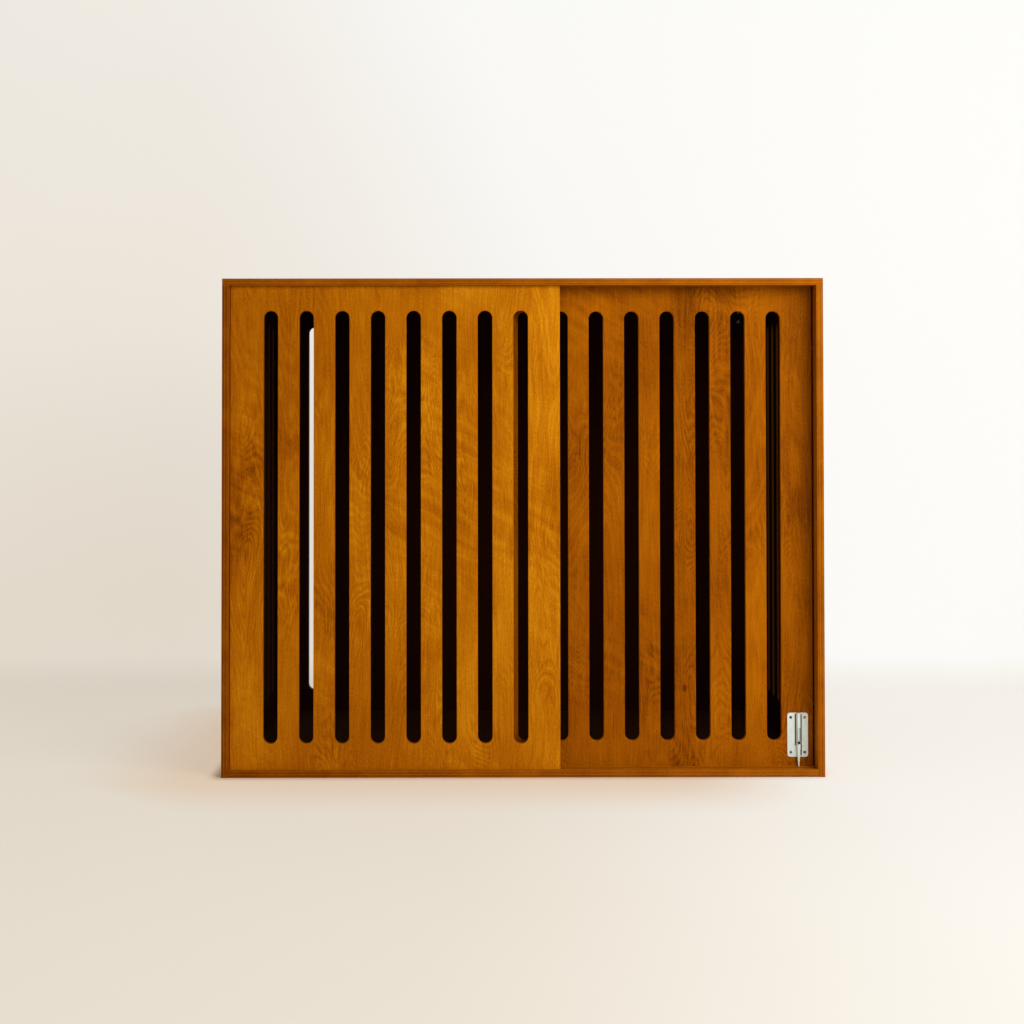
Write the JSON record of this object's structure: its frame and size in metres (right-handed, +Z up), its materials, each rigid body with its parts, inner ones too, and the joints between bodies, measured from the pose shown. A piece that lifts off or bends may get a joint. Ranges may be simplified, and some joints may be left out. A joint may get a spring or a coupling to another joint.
{
  "type": "dog crate end table",
  "caption": "Plywood dog crate and end table with two slotted bypass sliding doors, slotted sides and a barrel bolt.",
  "frame": {"origin": "on the floor, under the middle of the case", "axes": "+X to the right seen from the front, +Y from the front to the back, +Z up"},
  "size_m": [1.042, 0.61, 0.862],
  "materials": {
    "case_ply": "honey stain under satin lacquer",
    "door_ply": "honey stain under satin lacquer",
    "dowel_beech": "raw",
    "glide_nylon": "matte",
    "stop_rubber": "matte",
    "bolt_steel": "satin",
    "screw_steel": "satin",
    "bracket_steel": "zinc plated"
  },
  "bodies": {
    "case": {"top_panel": "case_ply", "bottom_panel": "case_ply", "left_side_panel": "case_ply", "right_side_panel": "case_ply", "back_panel": "case_ply", "left_stops": "stop_rubber", "right_stops": "stop_rubber", "top_dowels": "dowel_beech", "bottom_dowels": "dowel_beech", "back_dowels": "dowel_beech", "corner_brackets": "bracket_steel", "bracket_wall_screws": "screw_steel", "bracket_board_screws": "screw_steel"},
    "front_door": {"front_door_panel": "door_ply", "front_door_glides": "glide_nylon"},
    "rear_door": {"rear_door_panel": "door_ply", "rear_door_glides": "glide_nylon", "bolt_base_plate": "bolt_steel", "bolt_barrel": "bolt_steel", "bolt_screws": "screw_steel"},
    "bolt_tip": {"bolt_tip_pin": "bolt_steel"},
    "bolt_rod": {"bolt_rod": "bolt_steel", "bolt_knob": "bolt_steel"}
  },
  "joints": [
    {"name": "front_door_slide", "type": "slide", "parent": "case", "child": "front_door", "axis": [1, 0, 0], "range_m": [0, 0.4433]},
    {"name": "rear_door_slide", "type": "slide", "parent": "case", "child": "rear_door", "axis": [-1, 0, 0], "range_m": [0, 0.4551]},
    {"name": "bolt_slide", "type": "slide", "parent": "rear_door", "child": "bolt_tip", "axis": [0, 0, 1], "range_m": [0, 0.022]},
    {"name": "bolt_turn", "type": "hinge", "parent": "bolt_tip", "child": "bolt_rod", "pos_m": [0.4798, -0.2769, 0.05], "axis": [0, 0, 1], "range_deg": [0, 45]}
  ]
}
